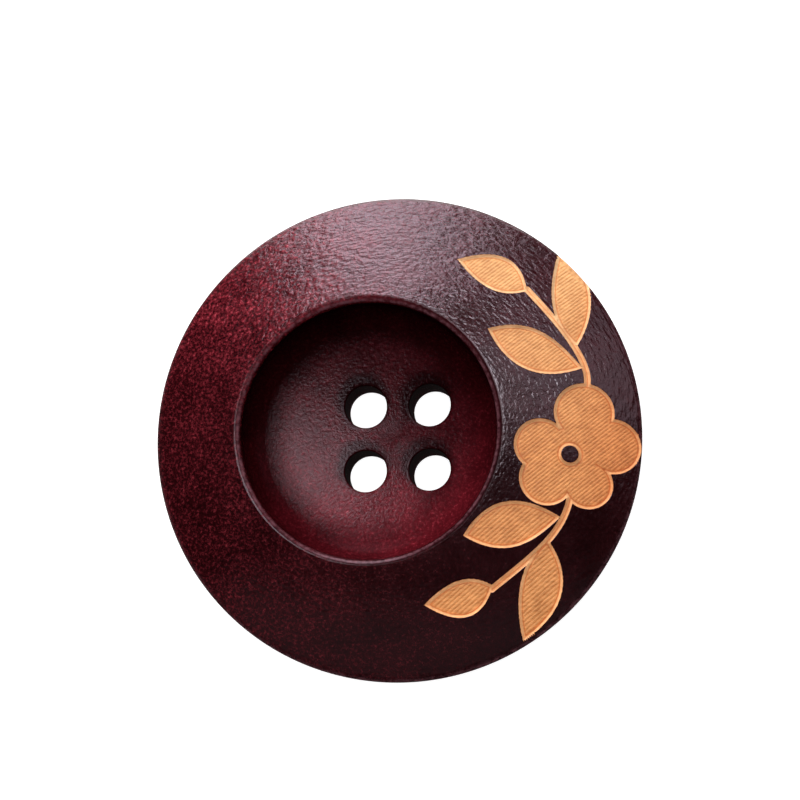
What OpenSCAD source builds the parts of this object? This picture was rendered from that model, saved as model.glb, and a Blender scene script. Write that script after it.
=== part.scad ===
// Turned wooden coat button: a low crown with an off-centre dish, four sewing holes
// and a flower spray cut into the broad side of the rim.
// Millimetres. Z points up out of the face, the flat back lies on Z = 0,
// the middle of the button is the origin and the flower faces +X.

/* [Button] */

// Outside diameter
diameter = 30; // [26:0.5:36]

// Height of the widest line above the back
edge_height = 2.9; // [2.2:0.1:3.6]

// Radius of the rounding on the upper edge
edge_round = 0.5; // [0.3:0.05:0.9]

// Radius of the crown's sphere
crown_radius = 30; // [26:0.5:40]

/* [Dish] */

// Width of the dish between its walls
dish_diameter = 15.8; // [14:0.2:17]

// How far the dish sits off the middle, away from the flower
dish_offset = 1.55; // [0.5:0.05:2]

// Turn of that offset about the middle, in degrees
dish_turn = 5.5; // [0:0.5:20]

// Radius of the rounded lip
lip_round = 0.4; // [0.25:0.05:0.6]

// Wood left under the middle of the dish
web = 3; // [2.4:0.1:3.4]

/* [Sewing holes] */

// Diameter of each hole
hole_diameter = 2.6; // [1.6:0.1:2.8]

// Distance between the middles of neighbouring holes
hole_spacing = 4; // [3.6:0.1:5]

/* [Ornament] */

// Depth of the cut, straight down
cut_depth = 0.2; // [0.15:0.05:0.5]

// Width of the two stems
stem_width = 0.4; // [0.24:0.02:0.6]

// Radius of the dot left standing in the flower
dot_radius = 0.52; // [0.3:0.02:0.8]

/* [Hidden] */

$fn = 48;
wood = [0.30, 0.06, 0.09];
through = 1;                       // how far a cutter runs past the wood
outer_r = diameter / 2;

// Blank: the crown's sphere, the small round of the upper edge inside it, a round flank below
edge_r = outer_r - edge_round;
crown_z = edge_height - sqrt(pow(crown_radius - edge_round, 2) - pow(edge_r, 2));
back_r = outer_r - edge_height;
crown_top = crown_z + crown_radius;

// Dish: its axis runs through the middle of the crown's sphere, so its lip is a true circle
// in the crown. Heights here are measured along that axis from the middle of the sphere.
lip_ease = 0.015;                  // the lip meets the crown at a small angle, not at a tangent
wall_ease = 0.004;                 // the rounds cross the wall and the floor in the same way
wall_r = dish_diameter / 2;
wall_straight = 0.2;
lip_r = wall_r + lip_round;
lip_h = sqrt(pow(crown_radius - lip_round + lip_ease, 2) - pow(lip_r, 2));
dish_tip = asin(dish_offset / lip_h);
floor_h = (web - crown_z) / cos(dish_tip);
rise = lip_h - wall_straight - floor_h;
corner_r = 0.73 * rise;            // round between the wall and the hollow floor
corner_at = wall_r - corner_r;
hollow_r = (pow(corner_at, 2) + pow(rise, 2) - pow(corner_r, 2)) / (2 * (rise - corner_r));

// Ornament, drawn for a button of 30 mm and sized with the diameter
art = diameter / 30;
flower_at = [10.72, -1.4] * art;
flower_r = 1.8 * art;

// Petals: direction from the dot, distance from the dot, radius
petals = [
    [12.5, 2.6, 1.69],
    [71.5, 2.72, 1.8],
    [163, 1.8, 1.6],
    [227, 2.06, 1.63],
    [300, 2.06, 1.51],
];

// Leaves: foot, tip, fullness of the left side near foot and near tip, the same for the right side
leaves = [
    [[8.12, 8.76], [3.88, 10.77], [1.3, 1.0], [1.9, 1.75]],
    [[11.15, 5.3], [10.1, 12.1], [1.71, 1.13], [1.46, 1.92]],
    [[11.5, 3.95], [5.82, 6.27], [1.66, 2.2], [0.8, 2.03]],
    [[10.1, -5.2], [4.3, -6.4], [1.05, 2.15], [1.5, 2.42]],
    [[6.0, -9.35], [1.83, -10.5], [1.8, 1.8], [1.25, 0.92]],
    [[9.3, -6.5], [7.68, -12.6], [2.05, 2.12], [1.22, 1.2]],
];

// Stems: start, two handles and end of one curve each
stems = [
    [[8.12, 8.85], [9.63, 7.2], [12.25, 4.3], [11.7, 2.7]],
    [[10.75, -3.8], [10.32, -6.12], [8.83, -7.26], [5.93, -9.55]],
];

leaf_steps = 12;
stem_steps = 14;

// Point and direction of a cubic curve through its four handles
function curve(p, t) =
    pow(1 - t, 3) * p[0] + 3 * pow(1 - t, 2) * t * p[1] + 3 * (1 - t) * t * t * p[2] + pow(t, 3) * p[3];
function heading(p, t) =
    pow(1 - t, 2) * (p[1] - p[0]) + 2 * (1 - t) * t * (p[2] - p[1]) + t * t * (p[3] - p[2]);
function unit(v) = v / norm(v);
function left_of(v) = [-v[1], v[0]];

// One side of a leaf from foot to tip; side is 1 for the left and -1 for the right
function leaf_side(foot, tip, full, side) =
    let (along = tip - foot, out = side * left_of(unit(along)))
    [foot, foot + 0.27 * along + full[0] * out, foot + 0.62 * along + full[1] * out, tip];

// Line from the first point past the second, to bound a slice
function past(a, b, k) = a + k * (b - a);

module leaf(foot, tip, left, right) {
    a = leaf_side(foot, tip, left, 1);
    b = leaf_side(foot, tip, right, -1);
    polygon(art * concat(
        [for (i = [0 : leaf_steps]) curve(a, i / leaf_steps)],
        [for (i = [leaf_steps - 1 : -1 : 1]) curve(b, i / leaf_steps)]
    ));
}

module stem(p) {
    half = stem_width / 2;
    polygon(concat(
        [for (i = [0 : stem_steps]) let (t = i / stem_steps)
            art * curve(p, t) + half * left_of(unit(heading(p, t)))],
        [for (i = [stem_steps : -1 : 0]) let (t = i / stem_steps)
            art * curve(p, t) - half * left_of(unit(heading(p, t)))]
    ));
}

module flower() {
    translate(flower_at) difference() {
        union() {
            circle(r = flower_r);
            for (p = petals)
                translate(art * p[1] * [cos(p[0]), sin(p[0])]) circle(r = art * p[2]);
        }
        circle(r = dot_radius * art);
    }
}

module ornament() {
    flower();
    for (l = leaves) leaf(l[0], l[1], l[2], l[3]);
    for (s = stems) stem(s);
}

// Half section of the blank, from the axis outwards
module blank_section() {
    centre = [0, crown_z];
    edge = [edge_r, edge_height];
    intersection() {
        translate(centre) circle(r = crown_radius, $fn = 180);
        polygon([[0, edge_height], edge, past(centre, edge, 1.2), [0, crown_top + through]]);
    }
    intersection() {
        translate(edge) circle(r = edge_round);
        translate([edge_r - edge_round, edge_height]) square(2 * edge_round);
    }
    intersection() {
        translate([back_r, edge_height]) circle(r = edge_height);
        translate([back_r, 0]) square(edge_height);
    }
    square([back_r, edge_height]);
}

module blank() {
    rotate_extrude($fn = 120) blank_section();
}

// Half section of the air in the dish, around the dish's own axis. The pieces overlap.
module dish_section() {
    corner = [corner_at, floor_h + rise];
    hollow = [0, floor_h + hollow_r];
    lip = [lip_r, lip_h];
    intersection() {
        translate(hollow) circle(r = hollow_r, $fn = 180);
        polygon([[0, lip_h], [corner_at, lip_h], corner, past(hollow, corner, 1.2), [0, floor_h - through]]);
    }
    translate(corner) circle(r = corner_r + wall_ease);
    translate([0, corner[1]]) square([wall_r, crown_radius - corner[1]]);
    difference() {
        polygon([[0, lip_h], lip, past([0, 0], lip, 1.1), [0, crown_radius + through]]);
        translate(lip) circle(r = lip_round + wall_ease);
    }
}

module dish() {
    translate([0, 0, crown_z]) rotate([0, -dish_tip, -dish_turn])
        rotate_extrude($fn = 120) dish_section();
}

module sewing_holes() {
    for (x = [-0.5, 0.5], y = [-0.5, 0.5])
        translate([x * hole_spacing, y * hole_spacing, -through])
            cylinder(d = hole_diameter, h = edge_height + 3 * through);
}

// The ornament's floor is the crown moved straight down by the depth of the cut
module cut_ornament() {
    difference() {
        translate([0, 0, edge_height - 2 * cut_depth])
            linear_extrude(height = crown_top - edge_height + 3 * cut_depth) ornament();
        translate([0, 0, -cut_depth]) blank();
    }
}

module button() {
    color(wood) difference() {
        blank();
        dish();
        sewing_holes();
        cut_ornament();
    }
}

button();
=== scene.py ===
# Turned wooden button with an engraved flower spray: surface, finish, light and camera.
import math

import bmesh
import bpy
import numpy as np
from mathutils import Matrix, Vector
from mathutils.geometry import delaunay_2d_cdt


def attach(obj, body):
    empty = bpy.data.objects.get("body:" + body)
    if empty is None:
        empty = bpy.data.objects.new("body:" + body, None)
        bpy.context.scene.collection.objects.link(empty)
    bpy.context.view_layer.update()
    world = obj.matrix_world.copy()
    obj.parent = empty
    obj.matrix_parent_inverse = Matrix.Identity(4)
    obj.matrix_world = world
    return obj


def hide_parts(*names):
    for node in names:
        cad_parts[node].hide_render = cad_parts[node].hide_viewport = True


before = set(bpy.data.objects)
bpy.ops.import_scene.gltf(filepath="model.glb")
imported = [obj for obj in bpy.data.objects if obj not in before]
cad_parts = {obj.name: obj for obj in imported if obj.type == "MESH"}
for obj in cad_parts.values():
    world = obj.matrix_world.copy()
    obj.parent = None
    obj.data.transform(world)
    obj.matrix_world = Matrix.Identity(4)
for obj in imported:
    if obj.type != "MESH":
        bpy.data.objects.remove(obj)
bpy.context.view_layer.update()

MM = 0.001

# Sizes of the part, in millimetres
OUTER_R = 15.0
EDGE_HEIGHT = 2.9
EDGE_ROUND = 0.5
CROWN_RADIUS = 30.0
WALL_R = 7.9
DISH_OFFSET = 1.55
DISH_TURN = math.radians(5.5)
LIP_ROUND = 0.4
WALL_STRAIGHT = 0.2
WEB = 3.0
HOLE_R = 1.3
HOLE_SPACING = 4.0
CUT_DEPTH = 0.2
STEM_HALF = 0.2
DOT_R = 0.52

# Crown: a sphere that runs into the small round of the upper edge
EDGE_R = OUTER_R - EDGE_ROUND
CROWN_Z = EDGE_HEIGHT - math.sqrt((CROWN_RADIUS - EDGE_ROUND) ** 2 - EDGE_R**2)
TANGENT_R = EDGE_R * CROWN_RADIUS / (CROWN_RADIUS - EDGE_ROUND)
BACK_R = OUTER_R - EDGE_HEIGHT

# Dish: turned about an axis through the middle of the crown's sphere, tipped away from the flower.
# The round between its wall and its floor takes a share of its rise
CORNER_SHARE = 0.73
LIP_R = WALL_R + LIP_ROUND
LIP_H = math.sqrt((CROWN_RADIUS - LIP_ROUND) ** 2 - LIP_R**2)
DISH_TIP = math.asin(DISH_OFFSET / LIP_H)
FLOOR_H = (WEB - CROWN_Z) / math.cos(DISH_TIP)
RISE = LIP_H - WALL_STRAIGHT - FLOOR_H
CORNER_R = CORNER_SHARE * RISE
CORNER_AT = WALL_R - CORNER_R
HOLLOW_R = (CORNER_AT**2 + RISE**2 - CORNER_R**2) / (2 * (RISE - CORNER_R))
DISH_CROSS = np.array([math.sin(DISH_TURN), math.cos(DISH_TURN), 0])
TOWARDS_FLOWER = np.array([math.cos(DISH_TURN), -math.sin(DISH_TURN), 0])
DISH_SIDE = math.cos(DISH_TIP) * TOWARDS_FLOWER + math.sin(DISH_TIP) * np.array([0, 0, 1])
DISH_AXIS = math.cos(DISH_TIP) * np.array([0, 0, 1]) - math.sin(DISH_TIP) * TOWARDS_FLOWER
SPHERE_MIDDLE = np.array([0, 0, CROWN_Z])
HOLLOW_MIDDLE = SPHERE_MIDDLE + (FLOOR_H + HOLLOW_R) * DISH_AXIS
LIP_START = LIP_R * CROWN_RADIUS / (CROWN_RADIUS - LIP_ROUND)

# Uneven finish and painted light, as terms that add up: the side on which each is strongest, in degrees from
# +X, its strength in the middle of the button, and how steeply it grows towards that side.
# Stain, its red dots and the relief of the lacquer on the outside, then the stain in the dish. The outside's
# stain is partly a painted red glow, steepest towards the side the light comes from; the dish's is lighter on
# its lower side as painted light and darker on its upper side as painted shade
CROWN_STAIN_AND_GLOW = ((124, 0.085, 3.6), (230, 0.345, 1.1), (35, 0.038, 3.0))
CROWN_DOTS = ((172, 0.24, 1.7), (270, 0.15, 0.8))
CROWN_RELIEF = ((70, 0.54, 0.95),)
FLOOR_STAIN_AND_LIGHT = ((250, 1.65, 0.8),)
CORNER_STAIN_AND_LIGHT = ((290, 0.93, 1.2),)
UNEVEN_SOFT = 3.5

# Relief that was sanded off beside the lip: the side where most is gone, in degrees from +X,
# the share that is gone there, and how far out from the lip the sanding ends
SANDED_SIDE = 32
SANDED = 0.95
SANDED_RUN = 4.5

# Paleness along the round edge, partly worn and partly a painted reflection of the pale table, and how far it
# runs down the flank as a share of it; then the paleness across the lip, partly worn and partly its painted
# highlight, as the place of its middle between the lip's outer line and the wall, and its half width
EDGE_WEAR_AND_SHEEN = 0.7
WEAR_AND_SHEEN_RUN = 0.25
LIP_WEAR_AND_SHEEN_AT = 0.52
LIP_WEAR_AND_SHEEN_HALF = 0.28

# Lacquer in the dish fades from the floor out to the wall, in bands: limits off the dish's axis, then levels
GLOSS_LIMITS = (5.2, 5.5, 5.8, 6.1, 6.4, 6.7)
GLOSS_LEVELS = (0.12, 0.10, 0.08, 0.06, 0.045, 0.03, 0.015)

# Stain in the dish, lighter on its lower side as painted light and darker on its upper side as painted shade:
# where the corner's takes over from the floor's, off the dish's axis, and over what run; then the painted
# shade on one side of each hole, as a shift, a soft edge and a strength, and the stain in the holes
CORNER_FROM = 5.2
CORNER_RUN = 1.5
HOLE_SHADE_SHIFT = (-0.2, 0.4)
HOLE_SHADE_EDGE = 0.7
HOLE_SHADE_DEPTH = 0.75
HOLE_STAIN = 0.6

# Soft mouths of the sewing holes
MOUTH_TOP = 0.08
MOUTH_BACK = 0.15
HOLES = [(x * HOLE_SPACING / 2, y * HOLE_SPACING / 2) for x in (-1, 1) for y in (-1, 1)]

# Engraving: sloped wall, a contour groove inside its foot, and the raster of the cutting beam,
# which also scallops the edges of the leaves
CUT_WALL = 0.12
GROOVE_AT = 0.21
GROOVE_HALF = 0.06
GROOVE_DEPTH = 0.025
GROOVE_END = GROOVE_AT + GROOVE_HALF
CUT_LEVELS = (-0.03, 0, CUT_WALL / 2, CUT_WALL, GROOVE_AT - GROOVE_HALF, GROOVE_AT, GROOVE_END)
RASTER_UPPER = 0.192
RASTER_LOWER = 0.213
RASTER_ANGLE = math.radians(40)
RASTER_DEPTH = 0.024
RASTER_ALONG = np.array([math.cos(RASTER_ANGLE), math.sin(RASTER_ANGLE)])
RASTER_ACROSS = np.array([-math.sin(RASTER_ANGLE), math.cos(RASTER_ANGLE)])
SCALLOP = 0.008
SCALLOP_REACH = 0.4

# The wider raster lies below a line across the foot of the flower: a point of that line and its slope
SPLIT_AT = (7.5, -4.2)
SPLIT_SLOPE = -0.25

# Box of the ornament in plan
ORNAMENT_X = (1, 15.2)
ORNAMENT_Y = (-13.2, 13.2)

# Flower: middle, filling disc and petals as direction, distance and radius
FLOWER_AT = np.array([10.72, -1.4])
FLOWER_R = 1.8
PETALS = [(12.5, 2.6, 1.69), (71.5, 2.72, 1.8), (163, 1.8, 1.6), (227, 2.06, 1.63), (300, 2.06, 1.51)]

# Leaves: foot, tip, fullness of the left side near foot and near tip, the same for the right side.
# The handles of each side lie at these shares of the way from foot to tip
LEAVES = [
    ((8.12, 8.76), (3.88, 10.77), (1.3, 1.0), (1.9, 1.75)),
    ((11.15, 5.3), (10.1, 12.1), (1.71, 1.13), (1.46, 1.92)),
    ((11.5, 3.95), (5.82, 6.27), (1.66, 2.2), (0.8, 2.03)),
    ((10.1, -5.2), (4.3, -6.4), (1.05, 2.15), (1.5, 2.42)),
    ((6.0, -9.35), (1.83, -10.5), (1.8, 1.8), (1.25, 0.92)),
    ((9.3, -6.5), (7.68, -12.6), (2.05, 2.12), (1.22, 1.2)),
]
LEAF_HANDLES = (0.27, 0.62)

# Stems: start, two handles and end of one curve each
STEMS = [
    ((8.12, 8.85), (9.63, 7.2), (12.25, 4.3), (11.7, 2.7)),
    ((10.75, -3.8), (10.32, -6.12), (8.83, -7.26), (5.93, -9.55)),
]

# Materials of the button, in the order of its slots; the dish's bands follow the third.
# The first rows of the lip still have the crown's
STAINED, RAW, HOLLOW = range(3)
WALL = HOLLOW + len(GLOSS_LIMITS)
LIP_STAINED_ROWS = 2

# Fineness of the mesh: counts, rows of the round edge and of a hole's mouth, then steps in millimetres
RIM_STEPS = 720
DISH_STEPS = 360
HOLE_STEPS = 72
HOLE_ROWS = 7
FLANK_RINGS = 16
LIP_ROWS = 20
CORNER_ROWS = 18
LEAF_STEPS = 40
STEM_STEPS = 30
STEM_POINTS = 150
RASTER_ROWS = 6
CONTOUR_LEAST = 8
EDGE_ANGLES = np.radians([36, 45, 54, 63, 71, 79, 85])
MOUTH_SHARES = (0, 0.03, 0.12, 0.3, 0.6, 1)
GRID = 0.22
BACK_GRID = 3 * GRID
CONTOUR_STEP = 0.065
FIELD_STEP = 0.04
RASTER_STEP = 0.16

# Mesh lines of the engraving: half the width of the raster's field, how far out over the round edge
# the raster and the contours run, and where the raster begins inside the cut
RASTER_HALF = 16.0
RASTER_OUT = EDGE_R + 0.15
CONTOUR_OUT = EDGE_R + 0.2
RASTER_FROM = GROOVE_END + 0.03

# Distances that count as none, and the value of a point far outside the ornament
JOIN = 0.001
RIM_NEAR = 1e-4
STEM_NEAR = 0.02
PLAN_NEAR = 1e-6
TINY = 1e-12
FAR = -1.0


def turn(count):
    """Angles of one full turn."""
    return np.arange(count) * (2 * math.pi / count)


def heading(degrees):
    """Direction in plan, counted from +X towards +Y."""
    a = math.radians(degrees)
    return np.array([math.cos(a), math.sin(a)])


def ring(radius, count, middle=(0, 0)):
    """Points of a circle in plan."""
    a = turn(count)
    return np.column_stack([middle[0] + radius * np.cos(a), middle[1] + radius * np.sin(a)])


def curve(handles, steps):
    """Points along a cubic curve."""
    t = np.linspace(0, 1, steps + 1)[:, None]
    p = np.array(handles, float)
    return (1 - t) ** 3 * p[0] + 3 * (1 - t) ** 2 * t * p[1] + 3 * (1 - t) * t**2 * p[2] + t**3 * p[3]


def smooth(t):
    """Soft step from 0 to 1, as t goes from 0 to 1."""
    t = np.clip(t, 0, 1)
    return t * t * (3 - 2 * t)


def leaf_outline(foot, tip, left, right):
    """Closed outline of one leaf, up its left side and down its right."""
    foot, tip = np.array(foot), np.array(tip)
    along = tip - foot
    out = np.array([-along[1], along[0]]) / np.linalg.norm(along)

    def side(fullness, sign):
        handles = [foot + t * along + sign * full * out for t, full in zip(LEAF_HANDLES, fullness)]
        return curve([foot, *handles, tip], LEAF_STEPS)

    return np.vstack([side(left, 1), side(right, -1)[-2:0:-1]])


def line_distance(points, line):
    """Distance of each point from a run of straight pieces."""
    best = np.full(len(points), np.inf)
    for a, b in zip(line[:-1], line[1:]):
        d = b - a
        t = np.clip(((points - a) @ d) / max(d @ d, TINY), 0, 1)
        best = np.minimum(best, np.hypot(*(points - a - t[:, None] * d).T))
    return best


def inside_outline(points, outline):
    """Whether each point lies inside a closed outline."""
    inside = np.zeros(len(points), bool)
    for a, b in zip(outline, np.roll(outline, -1, axis=0)):
        crosses = (a[1] > points[:, 1]) != (b[1] > points[:, 1])
        rise = b[1] - a[1] if b[1] != a[1] else TINY
        inside ^= crosses & (points[:, 0] < (b[0] - a[0]) * (points[:, 1] - a[1]) / rise + a[0])
    return inside


def near(points, line, margin=0.6):
    """Indices of the points close to the box around a line."""
    lo, hi = line.min(0) - margin, line.max(0) + margin
    return np.flatnonzero(((points > lo) & (points < hi)).all(1))


def in_lower_spray(points):
    """Whether each point belongs to the leaves below the flower, which have a wider raster."""
    return points[:, 1] < SPLIT_AT[1] + SPLIT_SLOPE * (points[:, 0] - SPLIT_AT[0])


def raster_phase(points):
    """Phase of the raster across its lines."""
    pitch = np.where(in_lower_spray(points), RASTER_LOWER, RASTER_UPPER)
    return 2 * math.pi * (points @ RASTER_ACROSS) / pitch


def raster_ridge(points):
    """How far up a ridge of the raster each point lies, from 0 to 1."""
    return 0.5 + 0.5 * np.cos(raster_phase(points))


def raster_points(pitch):
    """Even points along the lines of the raster, several rows to each line."""
    count = RASTER_ROWS * round(RASTER_HALF / pitch)
    u = np.arange(-RASTER_HALF, RASTER_HALF, RASTER_STEP)
    v = np.arange(-count, count) * pitch / RASTER_ROWS
    return (u[None, :, None] * RASTER_ALONG + v[:, None, None] * RASTER_ACROSS).reshape(-1, 2)


def cut_distance(points):
    """Distance inside the ornament's edge, positive where wood is cut away."""
    points = np.asarray(points, float)
    s = np.full(len(points), FAR)
    for leaf in LEAVES:
        outline = leaf_outline(*leaf)
        i = near(points, outline)
        d = line_distance(points[i], np.vstack([outline, outline[:1]]))
        s[i] = np.maximum(s[i], np.where(inside_outline(points[i], outline), d, -d))
    s = np.where(s > -SCALLOP_REACH, s + SCALLOP * np.cos(raster_phase(points)), s)
    for handles in STEMS:
        line = curve(handles, STEM_STEPS)
        i = near(points, line)
        s[i] = np.maximum(s[i], STEM_HALF - line_distance(points[i], line))
    from_dot = np.hypot(*(points - FLOWER_AT).T)
    s = np.maximum(s, FLOWER_R - from_dot)
    for angle, distance, radius in PETALS:
        middle = FLOWER_AT + distance * heading(angle)
        s = np.maximum(s, radius - np.hypot(*(points - middle).T))
    return np.maximum(np.minimum(s, from_dot - DOT_R), FAR)


def cut_depth(points, s):
    """Depth of the engraving, straight down, where s is the distance inside its edge."""
    wall = CUT_DEPTH * smooth(s / CUT_WALL)
    groove = GROOVE_DEPTH * smooth(1 - abs(s - GROOVE_AT) / GROOVE_HALF)
    ridges = RASTER_DEPTH * raster_ridge(points) * smooth((s - GROOVE_AT) / GROOVE_HALF)
    return np.where(s > 0, wall + groove - ridges, 0)


def top_height(r):
    """Height of the uncut top at a distance from the middle."""
    crown = CROWN_Z + np.sqrt(CROWN_RADIUS**2 - np.minimum(r, TANGENT_R) ** 2)
    edge = EDGE_HEIGHT + np.sqrt(np.maximum(EDGE_ROUND**2 - (r - EDGE_R) ** 2, 0))
    return np.where(r < TANGENT_R, crown, edge)


def on_crown(plan):
    """Points of the uncut top over points in plan."""
    return np.column_stack([plan, top_height(np.hypot(*plan.T))])


def flank_start(depth):
    """Angle down the flank at which a cut of this depth leaves the edge."""
    return depth / (EDGE_HEIGHT + math.sqrt(EDGE_HEIGHT * EDGE_ROUND))


def crown_points(plan):
    """Crown with its engraving, out to the widest line, as points and distance into the cut."""
    s = cut_distance(plan)
    depth = cut_depth(plan, s)
    r = np.hypot(*plan.T)
    start = flank_start(depth)
    reach = BACK_R + EDGE_HEIGHT * np.cos(start)
    at_edge = np.clip((r - TANGENT_R) / (OUTER_R - TANGENT_R), 0, 1)
    drawn = r - (OUTER_R - reach) * at_edge
    z = top_height(drawn) - depth
    z = np.where(r > OUTER_R - RIM_NEAR, EDGE_HEIGHT * (1 - np.sin(start)), z)
    return np.column_stack([plan * (drawn / np.maximum(r, TINY))[:, None], z]), s


def dish_points(rho, h, angle):
    """Points of the dish's section turned about its tipped axis."""
    side = np.cos(angle)[:, None] * DISH_SIDE + np.sin(angle)[:, None] * DISH_CROSS
    return SPHERE_MIDDLE + rho * side + h * DISH_AXIS


def dish_reach(points):
    """Distance of each point from the dish's axis."""
    p = points - SPHERE_MIDDLE
    return np.linalg.norm(p - (p @ DISH_AXIS)[:, None] * DISH_AXIS, axis=1)


def dish_section():
    """Section of the dish from the lip's outer line down to the hollow floor, as distance and height."""
    lip = np.linspace(math.atan2(LIP_H, LIP_R), math.pi, LIP_ROWS)
    tangent = math.atan2(RISE - HOLLOW_R, CORNER_AT)
    corner = np.linspace(0, tangent, CORNER_ROWS)
    return np.vstack([
        np.column_stack([LIP_R + LIP_ROUND * np.cos(lip), LIP_H + LIP_ROUND * np.sin(lip)]),
        np.column_stack([CORNER_AT + CORNER_R * np.cos(corner), FLOOR_H + RISE + CORNER_R * np.sin(corner)]),
    ])


def hole_distance(plan):
    """Distance of each point from the middle of the nearest hole."""
    return np.min([np.hypot(*(plan - hole).T) for hole in HOLES], axis=0)


def mouth_drop(plan, mouth):
    """How deep each point lies in the round mouths of the holes."""
    total = np.zeros(len(plan))
    for hole in HOLES:
        d = np.clip(np.hypot(*(plan - hole).T) - HOLE_R, 0, mouth)
        total += mouth - np.sqrt(np.maximum(mouth**2 - (mouth - d) ** 2, 0))
    return total


def floor_height(plan):
    """Height of the dish's hollow floor, with the mouths of the sewing holes."""
    off = plan - HOLLOW_MIDDLE[:2]
    return HOLLOW_MIDDLE[2] - np.sqrt(HOLLOW_R**2 - (off**2).sum(1)) - mouth_drop(plan, MOUTH_TOP)


def back_height(plan):
    """Height of the flat back, with the mouths of the sewing holes."""
    return mouth_drop(plan, MOUTH_BACK)


def lean(points, side):
    """How far each point lies towards a side of the button, from -1 to 1. The side is in degrees from +X."""
    flat = points[:, :2]
    return flat @ heading(side) / np.sqrt((flat**2).sum(1) + UNEVEN_SOFT**2)


def uneven(points, terms):
    """Strength of an uneven finish at each point."""
    return sum(strength * np.exp(growth * lean(points, side)) for side, strength, growth in terms)


def outside(points):
    """Values of the finish on the outside of the button."""
    near_lip = smooth(1 - (dish_reach(points) - LIP_START) / SANDED_RUN)
    sanded = SANDED * near_lip * np.clip(lean(points, SANDED_SIDE), 0, 1) ** 2
    return {
        # Stain, partly a painted red glow towards the side the light comes from
        "stain": uneven(points, CROWN_STAIN_AND_GLOW),
        "dots": uneven(points, CROWN_DOTS),
        "relief": uneven(points, CROWN_RELIEF) * (1 - sanded),
    }


def lip_wear_and_sheen(t):
    """Paleness across the lip, worn and painted as its highlight, from its outer line at 0 to the wall at 1.
    """
    return smooth(1 - abs(t - LIP_WEAR_AND_SHEEN_AT) / LIP_WEAR_AND_SHEEN_HALF)


def gloss_band(reach):
    """Material of the dish at a distance from its axis."""
    return HOLLOW + np.searchsorted(GLOSS_LIMITS, reach)


def dish_stain_and_shade(points):
    """Strength of the stain in the dish, lighter on its lower side as painted light, with painted shade
    beside the holes.
    """
    share = smooth((dish_reach(points) - CORNER_FROM) / CORNER_RUN)
    floor, corner = uneven(points, FLOOR_STAIN_AND_LIGHT), uneven(points, CORNER_STAIN_AND_LIGHT)
    total = floor + (corner - floor) * share
    # Painted shade on the upper left side of each hole, where its mouth faces away from the light
    for hole in HOLES:
        off = np.hypot(*(points[:, :2] - hole - HOLE_SHADE_SHIFT).T) - HOLE_R
        total = total * (1 - HOLE_SHADE_DEPTH * smooth(1 - off / HOLE_SHADE_EDGE))
    return total


def contours(level, x, y, field):
    """Closed lines along which a field on a grid has one value, with points a step apart."""
    above = field > level
    links, place = {}, {}

    def crossing(j, i, down):
        key = (j, i, down)
        if key not in place:
            a, b = field[j, i], field[j + 1, i] if down else field[j, i + 1]
            t = (level - a) / (b - a)
            if down:
                place[key] = (x[i], y[j] + t * (y[j + 1] - y[j]))
            else:
                place[key] = (x[i] + t * (x[i + 1] - x[i]), y[j])
        return key

    corners = above[:-1, :-1].astype(int) + above[1:, :-1] + above[:-1, 1:] + above[1:, 1:]
    for j, i in zip(*np.nonzero((corners > 0) & (corners < 4))):
        sides = [
            crossing(j, i, False) if above[j, i] != above[j, i + 1] else None,
            crossing(j, i + 1, True) if above[j, i + 1] != above[j + 1, i + 1] else None,
            crossing(j + 1, i, False) if above[j + 1, i] != above[j + 1, i + 1] else None,
            crossing(j, i, True) if above[j, i] != above[j + 1, i] else None,
        ]
        found = [k for k in sides if k]
        for a, b in zip(found[::2], found[1::2]):
            links.setdefault(a, []).append(b)
            links.setdefault(b, []).append(a)
    lines, left = [], set(links)
    while left:
        key = min(left)
        walk = []
        while key in left:
            left.remove(key)
            walk.append(place[key])
            key = next((k for k in links[key] if k in left), None)
        p = np.array(walk + walk[:1])
        run = np.concatenate([[0], np.cumsum(np.hypot(*np.diff(p, axis=0).T))])
        count = max(CONTOUR_LEAST, round(run[-1] / CONTOUR_STEP))
        at = np.arange(count) * run[-1] / count
        lines.append(np.column_stack([np.interp(at, run, p[:, 0]), np.interp(at, run, p[:, 1])]))
    return lines


def grid_points(reach, step):
    """Points of an even three-way grid over a square in plan."""
    rows = np.arange(-reach, reach, step * math.sqrt(3) / 2)
    columns = np.arange(-reach, reach, step)
    return np.vstack([np.column_stack([columns + step / 2 * (k % 2), np.full(len(columns), y)])
                      for k, y in enumerate(rows)])


def closed(loop):
    """A loop with marks for its points that are joined to the next, here all of them."""
    return loop, np.ones(len(loop), bool)


def triangulate(loops, points, keep):
    """Triangles over marked loops and loose points, as plan points and faces.

    keep picks faces by their middle.
    """
    coords, edges = [], []
    for loop, joined in loops:
        n, base = len(loop), len(coords)
        coords.extend(map(tuple, loop))
        edges.extend((base + k, base + (k + 1) % n) for k in range(n) if joined[k])
    coords.extend(map(tuple, points))
    plan, _, faces, *_ = delaunay_2d_cdt([Vector(c) for c in coords], edges, [], 0, PLAN_NEAR)
    plan = np.array([tuple(p) for p in plan])
    faces = np.array(faces)
    faces = faces[keep(plan[faces].mean(1))]
    used, faces = np.unique(faces, return_inverse=True)
    return plan[used], faces.reshape(-1, 3)


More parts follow.
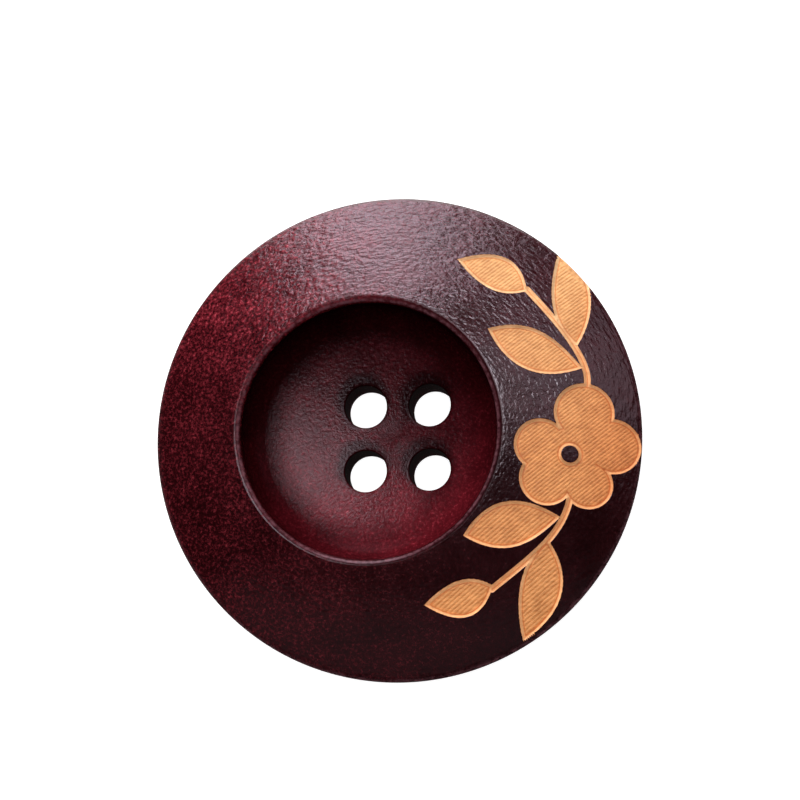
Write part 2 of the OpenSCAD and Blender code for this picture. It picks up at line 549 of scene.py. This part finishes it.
class Surface:
    """Collects patches of faces, with a few values for each point. Points that meet are joined at the end."""

    PLAIN = {"cut": FAR, "ridge": 0.0, "wear": 0.0, "stain": 1.0, "dots": 0.35, "relief": 1.0}

    def __init__(self):
        self.points, self.faces, self.finish, self.count = [], [], [], 0
        self.values = {key: [] for key in self.PLAIN}

    def add(self, points, faces, finish, **values):
        """A patch of faces. finish is the material of each face, or one for all."""
        self.points.append(points)
        self.faces += [tuple(int(k) + self.count for k in face) for face in faces]
        self.finish.append(np.broadcast_to(finish, len(faces)))
        for key, plain in self.PLAIN.items():
            self.values[key].append(np.broadcast_to(values.get(key, plain), len(points)))
        self.count += len(points)

    def rings(self, rows, finish, **values):
        """Quads between closed rings of equal length. finish is given ring by ring, or one for all."""
        n = len(rows[0])
        faces = [
            (k * n + i, k * n + (i + 1) % n, (k + 1) * n + (i + 1) % n, (k + 1) * n + i)
            for k in range(len(rows) - 1) for i in range(n)
        ]
        finish = np.broadcast_to(finish, len(rows))[1:]
        self.add(np.vstack(rows), faces, np.repeat(finish, n), **values)

    def mesh(self, name):
        """The mesh of all patches, in metres, with the points' values as its attributes."""
        made = bpy.data.meshes.new(name)
        made.from_pydata((np.vstack(self.points) * MM).tolist(), [], self.faces)
        for key, parts in self.values.items():
            values = np.concatenate(parts).astype(np.float32)
            made.attributes.new(key, "FLOAT", "POINT").data.foreach_set("value", values)
        made.polygons.foreach_set("material_index", np.concatenate(self.finish).astype(np.int32))
        made.polygons.foreach_set("use_smooth", np.ones(len(self.faces), bool))
        work = bmesh.new()
        work.from_mesh(made)
        bmesh.ops.remove_doubles(work, verts=work.verts, dist=JOIN * MM)
        bmesh.ops.recalc_face_normals(work, faces=work.faces)
        work.to_mesh(made)
        work.free()
        return made


def ornament_loops():
    """Lines along the walls and the groove of the engraving, as far out as the round edge."""
    x, y = np.arange(*ORNAMENT_X, FIELD_STEP), np.arange(*ORNAMENT_Y, FIELD_STEP)
    field = cut_distance(np.column_stack([a.ravel() for a in np.meshgrid(x, y)])).reshape(len(y), len(x))
    loops = []
    for level in CUT_LEVELS:
        for line in contours(level, x, y, field):
            inner = np.hypot(*line.T) < CONTOUR_OUT
            joined = inner & np.roll(inner, -1)
            kept = joined | np.roll(joined, 1)
            loops.append((line[kept], joined[kept]))
    return loops


def ornament_points():
    """Loose points in the engraving: along the raster, and along the middles of the stems."""
    upper, lower = raster_points(RASTER_UPPER), raster_points(RASTER_LOWER)
    raster = np.vstack([upper[~in_lower_spray(upper)], lower[in_lower_spray(lower)]])
    raster = raster[(np.hypot(*raster.T) < RASTER_OUT) & (raster[:, 0] > ORNAMENT_X[0])]
    raster = raster[cut_distance(raster) > RASTER_FROM]
    middles = np.vstack([curve(handles, STEM_POINTS) for handles in STEMS])
    middles = middles[abs(cut_distance(middles) - STEM_HALF) < STEM_NEAR]
    return np.vstack([raster, middles])


def build_crown(surface):
    """Crown, its round edge and the engraving. Returns the plan points of the widest line in their order."""
    lip = dish_points(*dish_section()[0], turn(DISH_STEPS))[:, :2]
    loops = [closed(ring(OUTER_R, RIM_STEPS)), closed(lip)]
    loops += [closed(ring(EDGE_R + EDGE_ROUND * math.sin(t), RIM_STEPS)) for t in EDGE_ANGLES]
    loops += ornament_loops()

    free = grid_points(OUTER_R, GRID)
    free = free[np.hypot(*free.T) < TANGENT_R - GRID / 3]
    free = free[dish_reach(on_crown(free)) > LIP_START + GRID / 2]
    free = free[cut_distance(free) < -0.6 * GRID]

    def keep(p):
        return (np.hypot(*p.T) < OUTER_R) & (dish_reach(on_crown(p)) > LIP_START)

    plan, faces = triangulate(loops, np.vstack([free, ornament_points()]), keep)
    points, s = crown_points(plan)
    finish = np.where(cut_distance(plan[faces].mean(1)) > 0, RAW, STAINED)
    # Paleness at the round edge: worn, and a painted reflection of the pale table
    wear = EDGE_WEAR_AND_SHEEN * smooth((np.hypot(*plan.T) - TANGENT_R) / (OUTER_R - TANGENT_R))
    surface.add(points, faces, finish, cut=s, ridge=raster_ridge(plan), wear=wear, **outside(points))
    rim = plan[np.hypot(*plan.T) > OUTER_R - RIM_NEAR]
    return rim[np.argsort(np.arctan2(rim[:, 1], rim[:, 0]))]


def build_flank(surface, rim):
    """Round flank from the widest line down to the flat back. Returns its last ring."""
    start = flank_start(cut_depth(rim, cut_distance(rim)))
    way = rim / np.hypot(*rim.T)[:, None]
    rows, down = [], np.linspace(0, 1, FLANK_RINGS)
    for t in down:
        a = start + (math.pi / 2 - start) * t
        r = BACK_R + EDGE_HEIGHT * np.cos(a)
        rows.append(np.column_stack([way * r[:, None], EDGE_HEIGHT * (1 - np.sin(a))]))
    wear = np.repeat(EDGE_WEAR_AND_SHEEN * smooth(1 - down / WEAR_AND_SHEEN_RUN), len(rim))
    surface.rings(rows, STAINED, wear=wear, **outside(np.vstack(rows)))
    return rows[-1]


def build_dish(surface):
    """Lip, wall and corner of the dish. Returns its last ring."""
    section = dish_section()
    rows = [dish_points(rho, h, turn(DISH_STEPS)) for rho, h in section]
    lip, corner = rows[:LIP_ROWS], rows[LIP_ROWS - 1:]
    # Paleness across the lip: worn, and its painted highlight
    wear = np.repeat(lip_wear_and_sheen(np.linspace(0, 1, LIP_ROWS)), DISH_STEPS)
    finish = np.where(np.arange(LIP_ROWS) < LIP_STAINED_ROWS, STAINED, HOLLOW)
    surface.rings(lip, finish, wear=wear, **outside(np.vstack(lip)))
    surface.rings(corner, gloss_band(section[LIP_ROWS - 1:, 0]), stain=dish_stain_and_shade(np.vstack(corner)))
    return rows[-1]


def build_holed_disc(surface, outline, mouth, height, up):
    """The dish's floor, or the back where up is false, with the mouths of the holes.

    Returns the ring at the edge of each hole.
    """
    rings = [[ring(HOLE_R + mouth * t, HOLE_STEPS, hole) for t in MOUTH_SHARES] for hole in HOLES]
    free = grid_points(OUTER_R, GRID if up else BACK_GRID)
    inner = line_distance(free, np.vstack([outline, outline[:1]])) > GRID / 2
    free = free[inner & inside_outline(free, outline)]
    free = free[hole_distance(free) > HOLE_R + mouth + GRID / 3]
    loops = [closed(loop) for loop in [outline] + [r for rows in rings for r in rows]]

    def keep(p):
        return (hole_distance(p) > HOLE_R * math.cos(math.pi / HOLE_STEPS)) & inside_outline(p, outline)

    plan, faces = triangulate(loops, free, keep)
    points = np.column_stack([plan, height(plan)])
    if up:
        finish = gloss_band(dish_reach(points[faces].mean(1)))
        finish = np.where(hole_distance(plan[faces].mean(1)) < HOLE_R + mouth, WALL, finish)
        surface.add(points, faces, finish, stain=dish_stain_and_shade(points))
    else:
        surface.add(points, faces, STAINED, **outside(points))
    return [rows[0] for rows in rings]


def build_hole_walls(surface, edges):
    """Straight walls of the sewing holes between their two mouths."""
    for edge in edges:
        high, low = floor_height(edge), back_height(edge)
        rows = [np.column_stack([edge, high + (low - high) * t]) for t in np.linspace(0, 1, HOLE_ROWS)]
        surface.rings(rows, HOLLOW, stain=HOLE_STAIN)


def build_button():
    """The whole button as one closed mesh."""
    surface = Surface()
    rim = build_crown(surface)
    foot = build_flank(surface, rim)
    dish = build_dish(surface)
    edges = build_holed_disc(surface, dish[:, :2], MOUTH_TOP, floor_height, True)
    build_holed_disc(surface, foot[:, :2], MOUTH_BACK, back_height, False)
    build_hole_walls(surface, edges)
    button = bpy.data.objects.new("turned_button", surface.mesh("turned_button"))
    bpy.context.scene.collection.objects.link(button)
    return button


# Streaks that run around the button: length and width in millimetres, true at this distance from the middle
STREAK_LONG = 0.5
STREAK_WIDE = 0.2
STREAK_AT = 12.0

# Colours of the stained wood: its dots from dark to bright, the even stain, and worn spots, which also paint
# the lip's highlight and the table's reflection along the round edge
STAIN_DOTS = [
    (0.34, (0.0075, 0.0003, 0.0007)),
    (0.48, (0.0190, 0.0009, 0.0018)),
    (0.60, (0.0530, 0.0036, 0.0062)),
    (0.76, (0.1800, 0.0190, 0.0270)),
]
STAIN_EVEN = (0.026, 0.0017, 0.0029)
STAIN_WORN_AND_SHEEN = (0.16, 0.060, 0.075)

# Colours of the raw wood, from the foot of the spray to its top over this span. Then factors on them:
# the raster's lines, the grain, the cut from its edge to its floor with a painted highlight down its wall,
# and the far side of the flower
RAW_SPAN = (-10.0, 10.0)
RAW_TONES = [
    (0.0, (0.90, 0.400, 0.144)),
    (0.45, (0.71, 0.295, 0.098)),
    (1.0, (0.81, 0.435, 0.185)),
]
RAW_LINES = (0.75, 0.54, 0.30)
RAW_GRAIN = [
    (0.36, (0.78, 0.70, 0.62)),
    (0.64, (1.12, 1.12, 1.12)),
]
RAW_CUT_WITH_HIGHLIGHT = [
    (0.0, (0.75, 0.60, 0.48)),
    (0.06, (1.15, 1.42, 1.90)),
    (0.24, (1.10, 1.30, 1.60)),
    (0.42, (0.78, 0.50, 0.30)),
    (0.54, (1.0, 1.0, 1.0)),
]
RAW_FAR_SIDE = (1.0, 0.88, 0.80)
FAR_SIDE_SPAN = (10.5, 13.5)
RAW_RELIEF = 0.012 * MM


class Nodes:
    """Short ways to add shader nodes to one material."""

    def __init__(self, name):
        self.material = bpy.data.materials.new(name)
        self.material.use_nodes = True
        self.tree = self.material.node_tree
        self.shader = self.tree.nodes["Principled BSDF"]

    def add(self, kind, settings=None, **inputs):
        """A node with its settings and inputs. An input's name may be its number after a low line."""
        node = self.tree.nodes.new("ShaderNode" + kind)
        for key, value in (settings or {}).items():
            setattr(node, key, value)
        for key, value in inputs.items():
            self.put(node, int(key[1:]) if key[0] == "_" else key, value)
        return node

    def put(self, node, key, value):
        socket = node.inputs[key]
        if isinstance(value, bpy.types.NodeSocket):
            self.tree.links.new(value, socket)
        else:
            socket.default_value = value

    def math(self, operation, a, b=0.0):
        return self.add("Math", {"operation": operation}, _0=a, _1=b).outputs[0]

    def vector(self, operation, a, b=(0, 0, 0)):
        return self.add("VectorMath", {"operation": operation}, _0=a, _1=b).outputs

    def scale(self, vector, factor):
        return self.add("VectorMath", {"operation": "SCALE"}, _0=vector, Scale=factor).outputs[0]

    def along(self, vector, way):
        return self.vector("DOT_PRODUCT", vector, way)["Value"]

    def value(self, name):
        """One of the values that the mesh holds for each point."""
        return self.add("Attribute", {"attribute_name": name}).outputs["Fac"]

    def noise(self, vector, scale, detail, roughness):
        node = self.add("TexNoise", Vector=vector, Scale=scale, Detail=detail, Roughness=roughness)
        return node.outputs["Fac"]

    def ramp(self, value, stops):
        node = self.add("ValToRGB", Fac=value)
        elements = node.color_ramp.elements
        while len(elements) < len(stops):
            elements.new(1.0)
        for element, (at, colour) in zip(elements, stops):
            element.position = at
            element.color = (*colour, 1)
        return node.outputs["Color"]

    def mix(self, share, a, b, blend="MIX"):
        node = self.add("Mix", {"data_type": "RGBA", "blend_type": blend})
        for key, value in ((0, share), (6, a), (7, b)):
            self.put(node, key, value if isinstance(value, (float, bpy.types.NodeSocket)) else (*value, 1))
        return node.outputs[2]

    def multiply(self, a, b):
        return self.mix(1.0, a, b, "MULTIPLY")

    def span(self, value, low, high, to_low=0.0, to_high=1.0):
        return self.add("MapRange", _0=value, _1=low, _2=high, _3=to_low, _4=to_high).outputs[0]

    def bump(self, height, distance):
        return self.add("Bump", Strength=1.0, Distance=distance, Height=height).outputs[0]

    def finish(self, **inputs):
        for key, value in inputs.items():
            self.put(self.shader, key.replace("_", " "), value)
        return self.material


def scaled(n):
    """Object coordinates in millimetres."""
    return n.scale(n.add("TexCoord").outputs["Object"], 1 / MM)


def around(n, place):
    """Coordinates stretched around the button, for the streaks that a lathe leaves."""
    flat = n.vector("MULTIPLY", place, (1, 1, 0))[0]
    way = n.scale(n.vector("NORMALIZE", flat)[0], STREAK_AT / STREAK_LONG)
    across = n.math("DIVIDE", n.vector("LENGTH", flat)["Value"], STREAK_WIDE)
    return n.vector("ADD", way, n.add("CombineXYZ", Z=across).outputs[0])[0]


def stained_wood(name, pores, streaks, rough, specular):
    """Deep red stain under lacquer, with fine dots, short streaks and pale worn edges that also paint
    highlights and reflections.

    Pores and streaks are heights of the relief in millimetres, rough is the span of the roughness.
    """
    n = Nodes(name)
    place = scaled(n)
    speckle = n.noise(place, scale=5.2, detail=3.0, roughness=0.7)
    mottle = n.noise(place, scale=0.45, detail=3.0, roughness=0.55)
    streak = n.noise(around(n, place), scale=1.0, detail=1.0, roughness=0.5)
    # The stain value carries painted light too: a red glow on the crown's lit side, the dish's lit lower side
    # and shaded upper side, and shade beside the holes
    strength = n.math("MULTIPLY", n.value("stain"), n.span(mottle, 0.3, 0.7, 0.7, 1.35))
    colour = n.scale(n.mix(n.value("dots"), STAIN_EVEN, n.ramp(speckle, STAIN_DOTS)), strength)
    spots = n.span(n.noise(place, scale=3.0, detail=3.0, roughness=0.6), 0.38, 0.62, 0.15, 0.9)
    # Pale worn edges, also a painted highlight on the lip and a painted reflection of the table along the
    # round edge
    colour = n.mix(n.math("MULTIPLY", n.value("wear"), spots), colour, STAIN_WORN_AND_SHEEN)
    height = n.math("ADD", n.math("MULTIPLY", speckle, pores), n.math("MULTIPLY", streak, streaks))
    height = n.math("MULTIPLY", height, n.value("relief"))
    roughness = n.span(n.math("ADD", speckle, mottle), 0.7, 1.3, *rough)
    return n.finish(Base_Color=colour, Roughness=roughness, Normal=n.bump(height, MM),
                    Specular_IOR_Level=specular, Specular_Tint=(1.0, 0.90, 1.0, 1))


def raw_wood():
    """Bare pale wood in the cut, with a painted highlight down its wall, browned along its foot and in the
    lines of the raster.
    """
    n = Nodes("raw_wood")
    place = scaled(n)
    cut = n.value("cut")
    grain = n.noise(n.vector("MULTIPLY", place, (1.2, 7.0, 7.0))[0], scale=1.0, detail=4.0, roughness=0.6)
    patch = n.noise(place, scale=0.9, detail=3.0, roughness=0.6)
    lines = n.span(n.math("ADD", n.value("ridge"), grain), 0.4, 1.2, 0.9, 0.0)
    lined = n.math("MULTIPLY", n.span(cut, 0.17, 0.27), lines)
    tone = n.ramp(n.span(n.along(place, (0, 1, 0)), *RAW_SPAN), RAW_TONES)
    colour = n.mix(lined, tone, n.multiply(tone, RAW_LINES))
    colour = n.multiply(colour, n.ramp(n.math("MULTIPLY", n.math("ADD", grain, patch), 0.5), RAW_GRAIN))
    # Across the cut: darker at its edge, a painted highlight down its wall, browned along the groove at its
    # foot
    colour = n.multiply(colour, n.ramp(n.span(cut, 0.0, 0.5), RAW_CUT_WITH_HIGHLIGHT))
    far_side = n.span(n.along(place, (1, 0, 0)), *FAR_SIDE_SPAN)
    colour = n.multiply(colour, n.mix(far_side, (1, 1, 1), RAW_FAR_SIDE))
    height = n.noise(place, scale=9.0, detail=3.0, roughness=0.6)
    return n.finish(Base_Color=colour, Roughness=n.span(grain, 0.3, 0.7, 0.62, 0.78),
                    Normal=n.bump(height, RAW_RELIEF), Specular_IOR_Level=0.35)


def floor_material():
    n = Nodes("pale_floor")
    return n.finish(Base_Color=(0.55, 0.55, 0.55, 1), Roughness=0.9, Specular_IOR_Level=0.1,
                    Emission_Color=(1, 1, 1, 1), Emission_Strength=0.9)


def build_floor():
    """A wide pale table, lit from inside, so that it stays white under the button.

    The gloss doesn't see it.
    """
    half, drop = 2.0, 0.02 * MM
    mesh = bpy.data.meshes.new("floor")
    corners = [(-half, -half, -drop), (half, -half, -drop), (half, half, -drop), (-half, half, -drop)]
    mesh.from_pydata(corners, [], [(0, 1, 2, 3)])
    mesh.materials.append(floor_material())
    floor = bpy.data.objects.new("floor", mesh)
    bpy.context.scene.collection.objects.link(floor)
    floor.visible_glossy = False


def area_light(name, azimuth, elevation, spread, radiance, gloss, colour=(1, 1, 1), distance=0.4):
    """A soft light that faces the button, for its gloss or for everything else.

    Azimuth counts from +X towards +Y, spread is the size of the light in degrees.
    """
    a, e = math.radians(azimuth), math.radians(elevation)
    back = Vector((math.cos(a) * math.cos(e), math.sin(a) * math.cos(e), math.sin(e)))
    data = bpy.data.lights.new(name, "AREA")
    data.shape = "RECTANGLE"
    data.size, data.size_y = (2 * distance * math.tan(math.radians(d / 2)) for d in spread)
    data.energy = math.pi * data.size * data.size_y * radiance
    data.color = colour
    light = bpy.data.objects.new(name, data)
    light.location = back * distance
    light.rotation_mode = "QUATERNION"
    light.rotation_quaternion = back.to_track_quat("Z", "Y")
    light.visible_camera = False
    light.visible_glossy, light.visible_diffuse = gloss, not gloss
    bpy.context.scene.collection.objects.link(light)


def build_lights():
    """Two lights for the colour of the wood, then those for its gloss. The last stands in for the table."""
    area_light("key", 108, 33, (34, 28), 7.8, gloss=False)
    area_light("fill", 100, 82, (60, 60), 2.55, gloss=False)
    area_light("softbox", 100, 22.5, (29, 43), 9.2, gloss=True, colour=(1.0, 0.86, 0.92))
    area_light("overhead", 85, 74, (25, 16), 16.5, gloss=True)
    area_light("right_sheen", 31, 39, (34, 36), 1.65, gloss=True, colour=(1.0, 0.85, 0.9))
    area_light("low_sheen", 268, 42, (95, 25), 0.14, gloss=True)
    area_light("table_sheen", 99, -20, (60, 38), 2.4, gloss=True)


# Strength of the surroundings in the gloss, and where the camera looks past the floor
WORLD_DIM = 0.015
WORLD_WHITE = 1.0


def build_world():
    """Dim surroundings for the gloss, white where the camera looks past the floor."""
    world = bpy.data.worlds.new("studio")
    world.use_nodes = True
    tree = world.node_tree
    tree.nodes.clear()
    path = tree.nodes.new("ShaderNodeLightPath")
    mix, out = tree.nodes.new("ShaderNodeMixShader"), tree.nodes.new("ShaderNodeOutputWorld")
    tree.links.new(path.outputs["Is Camera Ray"], mix.inputs[0])
    for slot, strength in ((1, WORLD_DIM), (2, WORLD_WHITE)):
        background = tree.nodes.new("ShaderNodeBackground")
        background.inputs["Color"].default_value = (1, 1, 1, 1)
        background.inputs["Strength"].default_value = strength
        tree.links.new(background.outputs[0], mix.inputs[slot])
    tree.links.new(mix.outputs[0], out.inputs[0])
    bpy.context.scene.world = world


# Camera: its direction from the button, the distance, and where the middle of the picture lies
VIEW_WAY = Vector((0.113, -0.137, 1.0)).normalized()
VIEW_FROM = Vector((0, 0, EDGE_HEIGHT)) * MM
VIEW_DISTANCE = 0.25
VIEW_RIGHT, VIEW_UP = 0.10 * MM, 2.39 * MM
PICTURE_WIDTH = 49.2 * MM
SENSOR = 36.0


def build_camera():
    data = bpy.data.cameras.new("camera")
    data.sensor_width = SENSOR
    data.lens = SENSOR * VIEW_DISTANCE / PICTURE_WIDTH
    data.clip_start, data.clip_end = 0.01, 10
    camera = bpy.data.objects.new("camera", data)
    right = Vector((0, 1, 0)).cross(VIEW_WAY).normalized()
    up = VIEW_WAY.cross(right)
    place = VIEW_FROM + VIEW_DISTANCE * VIEW_WAY
    back = (place - (VIEW_FROM + VIEW_RIGHT * right + VIEW_UP * up)).normalized()
    side = up.cross(back).normalized()
    turned = Matrix((side, back.cross(side), back)).transposed().to_4x4()
    camera.matrix_world = Matrix.Translation(place) @ turned
    bpy.context.scene.collection.objects.link(camera)
    bpy.context.scene.camera = camera


button = build_button()
button.data.materials.append(stained_wood("stained_wood", 0.032, 0.075, (0.16, 0.26), 0.5))
button.data.materials.append(raw_wood())
for k, level in enumerate(GLOSS_LEVELS):
    button.data.materials.append(stained_wood(f"stained_dish_{k}", 0.03, 0.015, (0.14, 0.20), level))
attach(button, "root")
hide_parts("button")

build_floor()
build_world()
build_lights()
build_camera()
bpy.context.scene.view_settings.view_transform = "Standard"
